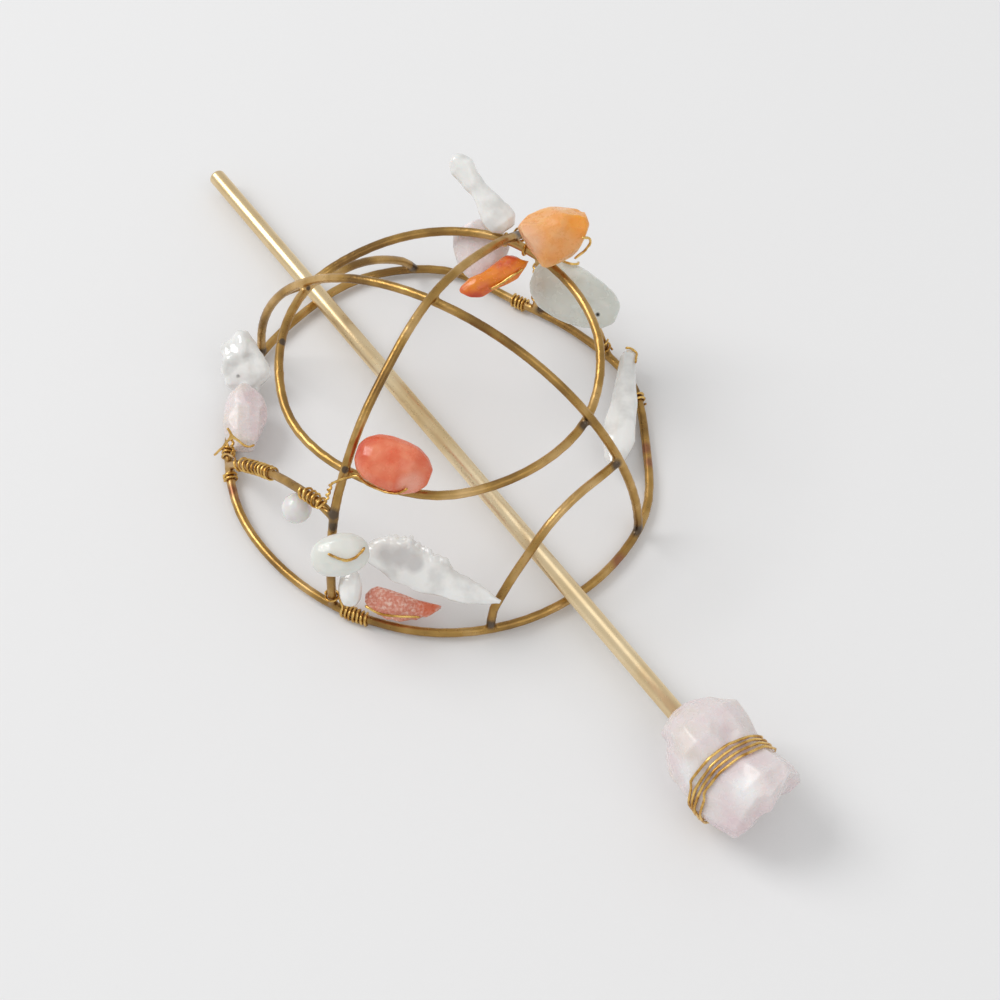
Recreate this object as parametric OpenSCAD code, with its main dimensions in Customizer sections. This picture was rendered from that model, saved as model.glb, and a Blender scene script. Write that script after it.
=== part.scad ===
// A wire bun cage lying at rest with its hair stick pushed through it. A dome of soldered brass
// wire carries raw stones and baroque pearls, tied on with fine gilt wire. Sizes are in
// millimetres and angles in degrees. The origin is the middle of the base ring on the floor,
// +Z is up, +X runs to the right and +Y to the back.

/* [Cage] */
// Radius of the base ring, to the middle of its wire
cage_r = 39; // [36:0.5:44]
// Height of the lower arch above the base ring
dome_h = 39.7; // [37:0.1:44]
// Thickness of the frame wire
frame_d = 1.63; // [1.4:0.01:2]
// How far soldered wires sink into each other where they cross
solder_sink = 0.35; // [0.25:0.05:0.5]
// Bearing of the front foot of the lower arch
low_arch_az = -28; // [-34:0.5:-24]
// Bearing of the back foot of the upper arch
high_arch_az = 60.5; // [56:0.5:66]
// How far up the arches the crown ring sits
crown_climb = 45; // [41:0.5:49]

/* [Stick] */
// Thickness of the stick
stick_d = 3.175; // [2.5:0.025:3.4]
// Length of the stick that shows, from its tip to the end stone
stick_len = 148; // [130:1:170]
// Length of the stick from the middle of the dome to the end stone
stick_out = 71.4; // [60:0.2:90]
// How far the middle of the end stone lies above the stick
stone_lift = 4.2; // [1:0.1:5]
// Bearing of the end stone from the middle of the dome
stick_az = -54.5; // [-58:0.5:-52]
// How far the stick passes beside the middle of the dome
stick_shift = -0.6; // [-2:0.1:2]
// Depth of the stick inside the end stone
socket_depth = 8; // [5:0.5:12]
// Clearance round the stick inside the end stone
socket_gap = 0.1; // [0.05:0.05:0.2]

/* [Stones and pearls] */
// Length, width and thickness of the end stone
end_stone = [25, 18, 19]; // [16:0.2:30]
// Length, width and thickness of the upright pearl on the left
left_pearl_size = [11.6, 9.6, 5]; // [4:0.2:14]
// Length, width and thickness of the pale quartz on the left
left_quartz_size = [12.6, 9, 7.6]; // [6:0.2:15]
// Thickness of the small bead on the left short arch
bead_d = 5.2; // [4:0.2:7]
// Length, width and thickness of the orange stone on the crown ring
carnelian_size = [12.6, 9.6, 8]; // [6:0.2:15]
// Length, width and thickness of the moonstone on the front leg
moonstone_size = [9.6, 7.6, 4.6]; // [4:0.2:12]
// Length, width and thickness of the small drop pearl
drop_size = [6.4, 4.3, 4.2]; // [3:0.1:7]
// Length, width and thickness of the wing pearl
wing_size = [25, 8.8, 2.6]; // [2:0.2:28]
// Length, width and thickness of the salmon stone
salmon_size = [13.4, 7, 6]; // [4:0.2:16]
// Length, width and thickness of the club pearl
club_size = [15.8, 6.2, 4]; // [3:0.2:20]
// Length, width and thickness of the pale quartz behind the crown ring
back_quartz_size = [11.8, 11, 4]; // [3:0.2:14]
// Length, width and thickness of the small orange stone
back_carnelian_size = [14, 5.4, 4]; // [3:0.2:15]
// Length, width and thickness of the peach stone
peach_size = [12.2, 11.4, 8.6]; // [6:0.2:15]
// Length, width and thickness of the grey moonstone
pale_size = [16.4, 11.6, 7.6]; // [5:0.2:18]
// Length, width and thickness of the long pearl
long_size = [26, 6.2, 4]; // [3:0.2:29]
// Gap between a stone and the wire that it sits on
seat_gap = 0.3; // [0.2:0.05:0.4]

/* [Binding wire] */
// Thickness of the binding wire
bind_d = 0.5; // [0.4:0.02:0.6]
// Gap between the binding wire and what it is wound round
bind_gap = 0.06; // [0.05:0.01:0.1]
// Number of turns of the band round the end stone
band_turns = 4; // [3:1:5]

/* [Hidden] */

// Sides of a frame wire, of a binding wire and of a stone
frame_sides = 8;
bind_sides = 5;
stone_sides = 12;
// Spacing of the sections along a frame wire
frame_step = 3;
// Sections of binding wire in one turn
turn_steps = 10;
// Lean of the broad faces of the stones, from straight up towards the front
face_lean = 33;
// Radius of a coil of binding wire round a frame wire
coil_r = (frame_d / 2 + bind_gap + bind_d / 2) / cos(180 / turn_steps);
// Height of the base ring: its coils of binding wire rest on the floor
ring_z = coil_r + bind_d / 2;
// Distance between the middles of two soldered wires
lap = frame_d - solder_sink;
frame_r = frame_d / 2;

// Small vector helpers
function unit(v) = v / norm(v);
function mix(a, b, t) = a + (b - a) * t;
function level(v) = [v[0], v[1], 0];
function heading(az) = [cos(az), sin(az), 0];
function across(v) = unit([-v[1], v[0], 0]);
function mean(p) = [for (k = [0:2]) [for (q = p) 1] * [for (q = p) q[k]] / len(p)];
function square_to(v, way) = unit(v - (v * way) * way);
// How far a set of points reaches in a direction
function reach(points, way) = max([for (p = points) p * way]);

// Smooth curve through four rows, and through all rows of an open or a closed list
function blend(a, b, c, d, t) =
    (2 * b + (c - a) * t + (2 * a - 5 * b + 4 * c - d) * t * t + (3 * b - a - 3 * c + d) * t * t * t) / 2;
function smooth(p, steps) = [
    for (i = [0:len(p) - 2], k = [0:steps - 1])
        blend(p[max(i - 1, 0)], p[i], p[i + 1], p[min(i + 2, len(p) - 1)], k / steps),
    p[len(p) - 1]
];
function smooth_loop(p, steps) = [
    for (i = [0:len(p) - 1], k = [0:steps - 1])
        let (n = len(p))
        blend(p[(i + n - 1) % n], p[i], p[(i + 1) % n], p[(i + 2) % n], k / steps)
];
// One column of a table at a value of its first column
function column(rows, at, k) = lookup(at, [for (row = rows) [row[0], row[k]]]);

// Place and direction at a share of an open path
function along(path, share) =
    let (x = share * (len(path) - 1), i = min(floor(x), len(path) - 2))
    mix(path[i], path[i + 1], x - i);
function way(path, share) =
    let (x = share * (len(path) - 1), i = min(floor(x), len(path) - 2))
    unit(path[i + 1] - path[i]);
// A closed path with its first point repeated at the end
function closed(path) = [for (i = [0:len(path)]) path[i % len(path)]];

// Base ring: radius at each sixteenth of a turn, as a share of cage_r
ring_shares = [
    0.95, 0.96, 0.91, 0.91, 1.03, 1.06, 1.02, 1.01, 0.99, 0.99, 0.98, 0.99, 1.01, 1.02, 1.02, 1.01
];
ring_path = smooth_loop(
    [for (i = [0:15]) cage_r * ring_shares[i] * heading(i * 22.5) + [0, 0, ring_z]], 5);
function ring_at(az) = along(closed(ring_path), (az + 720) % 360 / 360);

// An arch: climb runs from 0 at its front foot to 180 at its back foot
function arch_point(front, back, height, rows, climb) =
    let (half = (back - front) / 2, bulge = column(rows, climb, 1))
    (front + back) / 2 - half * cos(climb) * bulge
    + [0, 0, height * sin(climb) * bulge]
    + across(half) * column(rows, climb, 2) * cage_r;

// Lower arch: a plain half circle
low_front = ring_at(low_arch_az);
low_back = ring_at(low_arch_az + 176.5);
// climb, bulge, sideways
low_rows = [[0, 1, 0], [180, 1, 0]];
function low_at(climb) = arch_point(low_front, low_back, dome_h, low_rows, climb);

// Upper arch: bent by hand over the lower one
high_front = ring_at(high_arch_az + 181);
high_back = ring_at(high_arch_az);
// climb, bulge, sideways
high_rows = smooth([
    [0, 1, 0], [13, 1.013, 0], [26, 1.033, 0.012], [35, 1.042, 0.023], [43, 1.032, 0.031],
    [52, 1.019, 0.041], [60, 1.01, 0.044], [71, 1, 0.044], [84, 0.998, 0.049], [96, 1.006, 0.045],
    [108, 1.021, 0.026], [119, 1.041, 0.005], [132, 1.07, -0.006], [140, 1.089, 0],
    [148, 1.105, 0.01], [156, 1.11, 0.01], [167, 1.06, 0], [180, 1, 0]
], 3);
function high_at(climb) = arch_point(high_front, high_back, dome_h + lap, high_rows, climb);

// Crown ring: soldered inside both arches, with a hand-bent bulge between the joints
function inner(a, middle) = a - lap * unit(a - middle);
// Joints in turn: right, back, left and front
crown_joints = [
    inner(low_at(0.945 * crown_climb), (low_front + low_back) / 2),
    inner(high_at(180 - 0.995 * crown_climb), (high_front + high_back) / 2),
    inner(low_at(180 - 0.99 * crown_climb), (low_front + low_back) / 2),
    inner(high_at(0.955 * crown_climb), (high_front + high_back) / 2)
];
crown_middle = mean(crown_joints);
crown_face = unit(cross(crown_joints[2] - crown_joints[0], crown_joints[1] - crown_joints[3]));
// Bulge of the ring at a third and two thirds of the way to the next joint
crown_bulges = [[1.012, 1.012], [0.985, 0.95], [0.98, 1], [1, 0.995]];
function crown_station(i, k) =
    let (a = crown_joints[i] - crown_middle, b = crown_joints[(i + 1) % 4] - crown_middle)
    let (turn = acos(level(a) * level(b) / norm(level(a)) / norm(level(b))) * k / 3)
    let (toward = [a[0] * cos(turn) - a[1] * sin(turn), a[0] * sin(turn) + a[1] * cos(turn), 0])
    let (r = mix(norm(level(a)), norm(level(b)), k / 3) * (k == 0 ? 1 : crown_bulges[i][k - 1]))
    let (flat = unit(toward) * r)
    k == 0 ? crown_joints[i] : crown_middle + flat - [0, 0, flat * crown_face / crown_face[2]];
crown_path = smooth_loop([for (i = [0:3], k = [0:2]) crown_station(i, k)], 5);

// Short arches: run and rise as shares of the way from foot to head
function short_path(foot, head, rows) = [
    for (row = smooth(rows, 2))
        [mix(foot[0], head[0], row[0]), mix(foot[1], head[1], row[0]), mix(foot[2], head[2], row[1])]
];
front_short = short_path(ring_at(-77), low_at(28), [
    [0, 0], [0.02, 0.29], [0.08, 0.42], [0.18, 0.6], [0.31, 0.77], [0.42, 0.92],
    [0.56, 1.01], [0.72, 1.03], [0.87, 1], [1, 1]
]);
back_short = short_path(ring_at(98), low_at(145), [
    [0, 0], [0.08, 0.2], [0.2, 0.38], [0.34, 0.55], [0.5, 0.68], [0.66, 0.76], [0.83, 0.88], [1, 1]
]);
left_short = short_path(ring_at(187), high_at(31), [
    [0, 0], [0.15, 0.27], [0.32, 0.5], [0.44, 0.64], [0.58, 0.78], [0.72, 0.89], [0.86, 0.99], [1, 1.01]
]);
right_short = short_path(ring_at(33), high_at(150), [
    [0, 0], [0.13, 0.24], [0.28, 0.5], [0.45, 0.72], [0.62, 0.86], [0.8, 0.95], [1, 1]
]);

// Wire swept along a path
function path_way(p, i, loop) =
    loop ? unit(p[(i + 1) % len(p)] - p[(i + len(p) - 1) % len(p)])
         : unit(p[min(i + 1, len(p) - 1)] - p[max(i - 1, 0)]);
function carried(ways) = [
    for (i = 0, s = square_to(abs(ways[0][2]) > 0.8 ? [1, 0.1, 0] : [0, 0, 1], ways[0]);
        i < len(ways);
        i = i + 1, s = i < len(ways) ? square_to(s, ways[i]) : s) s
];
module wire(path, d, sides, loop = false) {
    n = len(path);
    ways = [for (i = [0:n - 1]) path_way(path, i, loop)];
    ups = loop ? [for (w = ways) square_to([0, 0, 1], w)] : carried(ways);
    points = [
        for (i = [0:n - 1], k = [0:sides - 1])
            path[i] + d / 2 * (cos(360 * k / sides) * ups[i]
                + sin(360 * k / sides) * cross(ways[i], ups[i]))
    ];
    faces = [
        for (i = [0:n - (loop ? 1 : 2)], k = [0:sides - 1])
            let (a = i * sides, b = (i + 1) % n * sides, j = (k + 1) % sides)
            each [[a + k, a + j, b + j], [a + k, b + j, b + k]],
        if (!loop) for (k = [1:sides - 2]) each [[0, k + 1, k],
            [(n - 1) * sides, (n - 1) * sides + k, (n - 1) * sides + k + 1]]
    ];
    polyhedron(points, [for (f = faces) [f[2], f[1], f[0]]], convexity = 10);
}

// Sections of a path about frame_step apart
function even(points, loop = false) =
    let (ends = loop ? closed(points) : points)
    let (step = [for (i = [1:len(ends) - 1]) norm(ends[i] - ends[i - 1])])
    let (run = [for (i = 0, s = 0; i < len(ends); s = s + (i < len(step) ? step[i] : 0), i = i + 1) s])
    let (total = run[len(run) - 1], n = round(total / frame_step))
    let (table = [for (i = [0:len(ends) - 1]) [run[i], i / (len(ends) - 1)]])
    [for (k = [0:n - (loop ? 1 : 0)]) along(ends, lookup(total * k / n, table))];

low_path = [for (k = [0:42]) low_at(k * 180 / 42)];
high_path = even([for (k = [0:60]) high_at(k * 3)]);

module cage_frame() {
    color("darkgoldenrod") union() {
        wire(ring_path, frame_d, frame_sides, true);
        wire(low_path, frame_d, frame_sides);
        wire(high_path, frame_d, frame_sides);
        wire(crown_path, frame_d, frame_sides, true);
        wire(even(front_short), frame_d, frame_sides);
        wire(even(back_short), frame_d, frame_sides);
        wire(even(left_short), frame_d, frame_sides);
        wire(even(right_short), frame_d, frame_sides);
    }
}

// A seat is a place on a frame wire and the way that the wire runs there
function on(path, share) = [along(path, (share + 1) % 1), way(path, (share + 1) % 1)];
ring = closed(ring_path);
crown = closed(crown_path);

// Corners of a stone about its own middle, and its place:
// [points, size, middle, long axis, side axis, face axis]. The stone lies on its seat on the
// side out. Hold is the part of it that meets the seat, and nest how far the wire lies in it.
function stone_corners(size, rows, rough, mark) = [
    for (i = [0:len(rows) - 1], k = [0:stone_sides - 1])
        let (a = 360 * k / stone_sides + 9 * mark, row = rows[i])
        let (bump = 1 - rough * (1 + sin(2 * a + 67 * i + 40 * mark)) / 2
            - rough * (1 + cos(3 * a - 41 * i + 70 * mark)) / 3)
        [
            (row[0] - 0.5) * size[0],
            size[1] * (row[3] + row[1] * cos(a) * bump / 2),
            size[2] * (row[4] + row[2] * sin(a) * bump / 2)
        ]
];
function axes(face_az, lean, turn) =
    let (face = [sin(lean) * cos(face_az), sin(lean) * sin(face_az), cos(lean)])
    let (flat = [-sin(face_az), cos(face_az), 0])
    let (up = cross(face, flat))
    [cos(turn) * flat + sin(turn) * up, cos(turn) * up - sin(turn) * flat, face];
function place_stone(size, rows, seat, out, turn, face_az = -90, lean = face_lean, hold = [0.5, 0],
    nest = 0, rough = 0.1, mark = 1) =
    let (u = axes(face_az, lean, turn), away = square_to(out, seat[1]))
    let (corners = [for (p = stone_corners(size, rows, rough, mark)) p[0] * u[0] + p[1] * u[1] + p[2] * u[2]])
    let (held = (hold[0] - 0.5) * size[0] * u[0] + hold[1] * size[1] * u[1])
    let (square = held - (held * away) * away)
    let (middle = seat[0] - square
        + away * (frame_r + seat_gap + reach(corners, -away) - nest * size[2]))
    [[for (p = corners) p + middle], size, middle, u[0], u[1], u[2]];
module stone(spec) {
    n = len(spec[0]) / stone_sides;
    m = stone_sides;
    ends = [mean([for (k = [0:m - 1]) spec[0][k]]), mean([for (k = [0:m - 1]) spec[0][(n - 1) * m + k]])];
    faces = [
        for (i = [0:n - 2], k = [0:m - 1])
            let (a = i * m, b = (i + 1) * m, j = (k + 1) % m)
            each [[a + k, a + j, b + j], [a + k, b + j, b + k]],
        for (k = [0:m - 1])
            let (j = (k + 1) % m)
            each [[n * m, j, k], [n * m + 1, (n - 1) * m + k, (n - 1) * m + j]]
    ];
    polyhedron(concat(spec[0], ends), [for (f = faces) [f[2], f[1], f[0]]], convexity = 4);
}

// Tables of sections along each stone: at, width, thick, shift, rise
pebble_rows = [
    [0, 0.3, 0.3, 0, 0], [0.07, 0.62, 0.6, 0, 0], [0.2, 0.86, 0.86, 0, 0], [0.38, 0.98, 0.98, 0, 0],
    [0.56, 1, 1, 0, 0], [0.74, 0.9, 0.9, 0, 0], [0.9, 0.64, 0.64, 0, 0], [1, 0.32, 0.3, 0, 0]
];
left_pearl_rows = [
    [0, 0.4, 0.4, 0, 0], [0.1, 0.72, 0.75, 0, 0], [0.28, 0.94, 1, 0, 0], [0.45, 1, 1, 0, 0],
    [0.62, 0.86, 0.95, 0.08, 0], [0.78, 0.68, 0.85, 0.14, 0], [0.92, 0.44, 0.6, 0.13, 0],
    [1, 0.2, 0.3, 0.1, 0]
];
wing_rows = [
    [0, 0.12, 0.4, 0, -0.3], [0.08, 0.27, 0.7, 0.02, -0.15], [0.2, 0.47, 0.9, 0.05, -0.05],
    [0.32, 0.62, 1, 0.07, 0], [0.46, 0.76, 1, 0.02, 0], [0.6, 0.92, 1, 0.01, 0],
    [0.75, 1, 0.95, -0.05, 0], [0.87, 0.8, 0.85, -0.02, 0], [0.96, 0.52, 0.65, 0.03, 0],
    [1, 0.28, 0.4, 0.02, 0]
];
club_rows = [
    [0, 0.5, 0.5, 0, 0], [0.08, 0.86, 0.9, 0, 0], [0.22, 1, 1, 0, 0], [0.38, 0.72, 0.85, 0, 0],
    [0.55, 0.52, 0.7, 0, 0], [0.7, 0.6, 0.75, 0, 0], [0.85, 0.84, 0.9, 0, 0],
    [0.96, 0.66, 0.7, 0, 0], [1, 0.35, 0.4, 0, 0]
];
long_rows = [
    [0, 0.34, 0.4, 0, 0], [0.04, 0.52, 0.6, 0, 0], [0.2, 0.62, 0.8, 0, 0], [0.4, 0.78, 0.9, 0, 0],
    [0.6, 0.95, 1, 0, 0], [0.76, 1, 1, 0, 0], [0.9, 0.74, 0.8, 0, 0], [0.98, 0.4, 0.5, 0, 0],
    [1, 0.2, 0.25, 0, 0]
];
disc_rows = [
    [0, 0.34, 0.5, 0, 0], [0.1, 0.66, 0.8, 0, 0], [0.3, 0.94, 1, 0, 0], [0.5, 1, 1, 0, 0],
    [0.7, 0.94, 1, 0, 0], [0.9, 0.64, 0.8, 0, 0], [1, 0.34, 0.5, 0, 0]
];
salmon_rows = [
    [0, 0.42, 0.5, 0.05, 0], [0.07, 0.8, 0.85, 0.04, 0], [0.16, 1, 1, 0.03, 0], [0.32, 0.92, 1, -0.04, 0],
    [0.5, 0.76, 0.9, -0.1, 0], [0.7, 0.54, 0.7, -0.14, 0], [0.87, 0.34, 0.45, -0.13, 0],
    [1, 0.12, 0.2, -0.08, 0]
];
spike_rows = [
    [0, 0.4, 0.4, -0.04, 0], [0.07, 0.72, 0.7, 0, 0], [0.22, 0.98, 0.95, 0.02, 0],
    [0.4, 0.92, 1, 0.03, 0], [0.58, 0.8, 0.9, 0, 0], [0.76, 0.96, 0.95, -0.04, 0],
    [0.92, 0.78, 0.7, -0.02, 0], [1, 0.4, 0.4, 0, 0]
];
block_rows = [
    [0, 0.5, 0.5, 0, 0], [0.06, 0.82, 0.78, 0, 0], [0.22, 0.96, 0.94, 0, 0], [0.42, 0.98, 1, 0, 0],
    [0.62, 1, 0.98, 0, 0], [0.8, 0.92, 0.9, 0, 0], [0.94, 0.7, 0.7, 0, 0], [1, 0.4, 0.4, 0, 0]
];

left_pearl_set = place_stone(left_pearl_size, left_pearl_rows, on(ring, 0.439), [0, -0.3, 0.95], 88,
    rough = 0.04, mark = 1);
left_quartz_set = place_stone(left_quartz_size, block_rows, on(ring, 0.486), [0.65, -0.1, 0.85], 92,
    lean = 12, rough = 0.14, mark = 2);
carnelian_set = place_stone(carnelian_size, pebble_rows, on(crown, 0.79), [0.1, 0.25, 0.96], -20,
    rough = 0.08, mark = 4);
moonstone_set = place_stone(moonstone_size, pebble_rows, on(high_path, 0.135), [0.35, -0.545, 0.839], 10,
    hold = [0.5, -0.2], rough = 0.04, mark = 5);
drop_set = place_stone(drop_size, pebble_rows, on(high_path, 0.05), [1, -0.45, 0.9], 85,
    hold = [0.4, 0.3], nest = 0.05, rough = 0.04, mark = 6);
wing_set = place_stone(wing_size, wing_rows, on(front_short, 0.2), [-0.2, -0.51, 0.84], 176,
    face_az = -112, hold = [0.03, 0.05], rough = 0.05, mark = 7);
salmon_set = place_stone(salmon_size, salmon_rows, on(ring, -0.277), [0, 0.64, 0.77], 0,
    rough = 0.14, mark = 8);
club_set = place_stone(club_size, club_rows, on(crown, 0.268), [0.2, 0.4, 0.9], 126,
    hold = [0.15, 0], rough = 0.05, mark = 9);
back_quartz_set = place_stone(back_quartz_size, disc_rows, on(crown, 0.29), [0, 0.545, -0.839], 90,
    hold = [0.68, -0.05], rough = 0.1, mark = 10);
back_carnelian_set = place_stone(back_carnelian_size, spike_rows, on(crown, 0.258), [-0.2, -0.75, -0.6], 211,
    nest = 0.06, rough = 0.14, mark = 11);
peach_set = place_stone(peach_size, block_rows, on(crown, 0.21), [0.3, -0.2, 0.93], 20,
    hold = [0.35, -0.13], rough = 0.14, mark = 12);
pale_set = place_stone(pale_size, pebble_rows, on(right_short, 0.54), [-0.4, -0.4, 0.8], -25,
    hold = [0.46, 0], rough = 0.1, mark = 13);
long_set = place_stone(long_size, long_rows, on(ring, 0.075), [0, 0, 1], -97.6,
    lean = 0, hold = [0.08, -0.19], nest = 0.1, rough = 0.05, mark = 14);

module left_pearl() {
    color("white") stone(left_pearl_set);
}
module left_rose_quartz() {
    color("mistyrose") stone(left_quartz_set);
}
bead_middle = along(left_short, 0.68)
    + square_to([-0.3, -0.3, -1], way(left_short, 0.68)) * (frame_r + seat_gap + bead_d / 2);
module bar_bead() {
    color("whitesmoke") translate(bead_middle) sphere(d = bead_d, $fn = 24);
}
module front_carnelian() {
    color("tomato") stone(carnelian_set);
}
module front_moonstone() {
    color("aliceblue") stone(moonstone_set);
}
module drop_pearl() {
    color("white") stone(drop_set);
}
module wing_pearl() {
    color("white") stone(wing_set);
}
module salmon_stone() {
    color("salmon") stone(salmon_set);
}
module club_pearl() {
    color("white") stone(club_set);
}
module back_rose_quartz() {
    color("mistyrose") stone(back_quartz_set);
}
module back_carnelian() {
    color("orangered") stone(back_carnelian_set);
}
module peach_stone() {
    color("sandybrown") stone(peach_set);
}
module pale_moonstone() {
    color("honeydew") stone(pale_set);
}
module long_pearl() {
    color("white") stone(long_set);
}

// Stick: it lies on the back of the base ring, and its end stone on the floor
stick_way = heading(stick_az);
stick_side = across(stick_way);
// at, width, thick, shift, rise
end_rows = [
    [0, 0.5, 0.5, -0.04, -0.1], [0.08, 0.84, 0.76, -0.07, -0.04], [0.2, 0.98, 0.94, -0.07, 0],
    [0.34, 1, 1, -0.07, 0], [0.48, 1, 0.9, -0.07, -0.05], [0.6, 1.05, 0.88, -0.06, -0.06],
    [0.76, 0.98, 0.9, -0.02, -0.03], [0.9, 0.84, 0.8, 0.01, 0], [0.98, 0.56, 0.6, 0.01, 0],
    [1, 0.32, 0.36, 0, 0]
];
end_corners = [
    for (p = stone_corners(end_stone, end_rows, 0.12, 3))
        p[0] * stick_way + p[1] * stick_side + p[2] * [0, 0, 1]
];
// Band of binding wire round the end stone: it crosses the top of the stone nearer the stick than
// its sides
band_at = 0.57;
function end_corner(i, k) = end_corners[i * stone_sides + k % stone_sides];
function band_point(at, k, diagonal) =
    let (rows = [for (row = end_rows) row[0]])
    let (i = max([for (r = [0:len(rows) - 2]) rows[r] <= at ? r : 0]))
    let (a = end_corner(i, k), b = end_corner(i + 1, k + diagonal))
    let (p = mix(a, b, (at - rows[i]) / (rows[i + 1] - rows[i])))
    p + unit(p - stick_way * (p * stick_way)) * (bind_gap + bind_d * 0.6);
band_paths = [
    for (turn = [0:band_turns - 1]) [
        for (k = [0:stone_sides - 1], diagonal = [0, 1])
            let (a = 360 * (k + diagonal / 2) / stone_sides, row = turn - (band_turns - 1) / 2)
            let (spread = bind_d * (1.8 + 0.1 * cos(a)) / end_stone[0])
            let (rise = pow(max(sin(a), 0), 2))
            band_point(band_at - 0.03 * cos(a) - 0.05 * rise + row * spread, k, diagonal)
    ]
];
// The end stone lies on the floor, or on its band where that is lower
end_middle = stick_way * (stick_out + end_stone[0] / 2) + stick_side * stick_shift
    + [0, 0, max(reach(end_corners, [0, 0, -1]),
        max([for (path = band_paths) reach(path, [0, 0, -1])]) + bind_d / 2)];
stick_rest = level(ring_at(180 + stick_az)) * stick_way * stick_way + stick_side * stick_shift
    + [0, 0, ring_z + frame_r + seat_gap + stick_d / 2];
stick_axis = unit(end_middle - [0, 0, stone_lift] - stick_rest);
stick_face = end_middle - [0, 0, stone_lift] - stick_axis * end_stone[0] / 2;
stick_tip = stick_face - stick_axis * stick_len;
stick_turn = [0, acos(stick_axis[2]), atan2(stick_axis[1], stick_axis[0])];

module stick_shaft() {
    tip_round = stick_d * 0.2;
    color("goldenrod") translate(stick_tip) rotate(stick_turn) union() {
        translate([0, 0, tip_round])
            cylinder(d = stick_d, h = stick_len + socket_depth - tip_round, $fn = 48);
        rotate_extrude($fn = 48) {
            square([stick_d / 2 - tip_round, tip_round * 2]);
            translate([stick_d / 2 - tip_round, tip_round]) intersection() {
                circle(tip_round, $fn = 24);
                translate([0, -tip_round]) square(tip_round);
            }
        }
    }
}

module stick_stone() {
    // The bore starts in front of the stone, so that it opens clear through the stone's skin
    front = stick_d;
    color("lavenderblush") difference() {
        stone([[for (p = end_corners) p + end_middle]]);
        translate(stick_face - stick_axis * front) rotate(stick_turn)
            cylinder(d = stick_d + 2 * socket_gap, h = front + socket_depth + socket_gap, $fn = 48);
    }
}

module stick_binding() {
    color("gold") for (path = band_paths) wire([for (p = path) p + end_middle], bind_d, bind_sides, true);
}

// Binding wire
function reversed(p) = [for (i = [len(p) - 1:-1:0]) p[i]];
function length_of(p) = [for (i = [1:len(p) - 1]) 1] * [for (i = [1:len(p) - 1]) norm(p[i] - p[i - 1])];
// Place beside a frame wire: angle 0 is above it, 90 outside it
function beside(path, share, angle, r = coil_r) =
    let (w = way(path, share), s = square_to(abs(w[2]) > 0.85 ? [1, 0, 0] : [0, 0, 1], w))
    along(path, share) + r * (cos(angle) * s + sin(angle) * cross(w, s));
// Coil from a share of the path on: pitch is in thicknesses of the binding wire
function coil(path, share, turns, angle, pitch) =
    let (n = ceil(turns * turn_steps), run = turns * pitch * bind_d / length_of(path))
    [for (k = [0:n]) beside(path, share + run * k / n, angle + 360 * turns * k / n)];
// Free wire from a point: moves are in thicknesses of the binding wire
function free(a, moves) = smooth([for (m = concat([[0, 0, 0]], moves)) a + m * bind_d], 2);
// Twisted pair of wires from one point to another
function twisted(a, b, turns) =
    let (w = unit(b - a), s = square_to([1, 0, 0], w), n = turns * 6)
    [for (k = [0:n]) mix(a, b, k / n) + bind_d * 0.45 * (cos(60 * k) * s + sin(60 * k) * cross(w, s))];
// Point just off the skin of a stone, by row and corner of its sections
function off_stone(set, row, corner) =
    let (m = stone_sides, i = min(floor(row), len(set[0]) / m - 2), k = floor(corner))
    let (a = mix(set[0][i * m + k % m], set[0][i * m + (k + 1) % m], corner - k))
    let (b = mix(set[0][(i + 1) * m + k % m], set[0][(i + 1) * m + (k + 1) % m], corner - k))
    let (p = mix(a, b, row - i), off = p - set[2])
    p + unit([for (n = [0:2]) off * set[n + 3] / pow(set[1][n], 2)] * [set[3], set[4], set[5]])
        * (bind_d / 2 + 3 * bind_gap);
function over_stone(set, rows) = smooth([for (row = rows) off_stone(set, row[0], row[1])], 2);
module binding(path) {
    color("gold") wire(path, bind_d, bind_sides);
}

module wrap_left() {
    knot = beside(left_short, 0.1, 0, coil_r + bind_d);
    peak = knot + [0.2, 3.6, 7.6] * bind_d;
    binding(concat(reversed(coil(left_short, 0.12, 9, 0, 3)), coil(ring, 184.4 / 360, 2.25, 0, -1.5)));
    binding(coil(ring, 189.8 / 360, 2, 90, 1.5));
    binding(twisted(knot, peak, 3));
    binding(free(peak, [[-3.8, -1.6, -5], [-7.4, -1, -10.6]]));
    binding(free(peak, [[3, -2, -1], [5.5, -3, -2.4], [8, -2.4, -2]]));
    binding(free(peak, [[-0.8, 1, 2], [-1.6, 1.6, 2.6]]));
}

module wrap_bar() {
    turns = coil(left_short, 0.74, 4.25, 0, 3);
    low = beside(high_path, 0.195, 280, 1.55 * coil_r);
    high = beside(high_path, 0.228, 320, 1.55 * coil_r);
    binding(concat(turns, [low]));
    binding(twisted(low, high, 4));
    binding(concat([high], over_stone(carnelian_set,
        [[1.4, 4.8], [2, 4.8], [3, 4.8], [4, 4.5], [4.7, 4], [5.2, 3.3]])));
}

module wrap_front() {
    binding(concat(reversed(coil(high_path, 0.02, 1.5, 0, 1.5)), coil(ring, 244.6 / 360, 6.5, 0, 1.5)));
    binding(over_stone(salmon_set, [[0.5, 1], [1.3, 1.2], [2.2, 1.5], [3, 1.6], [3.8, 1.6], [5, 1.7]]));
}

module tie_moonstone() {
    binding(over_stone(moonstone_set, [[2.7, 1.2], [3.5, 1.7], [4.2, 2], [5, 2], [5.7, 1.7], [6.2, 1]]));
}

module wrap_crown() {
    binding(coil(crown, 0.2568, 1.75, 0, 1.3));
    binding(coil(high_path, 0.745, 1.25, 0, 1.6));
    binding(coil(crown, 0.23, 1.25, 0, 1.5));
    binding(over_stone(back_carnelian_set, [[1.5, 10.7], [2.1, 10.7], [2.7, 10.6], [3.4, 10.3], [4.2, 10]]));
}

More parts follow.
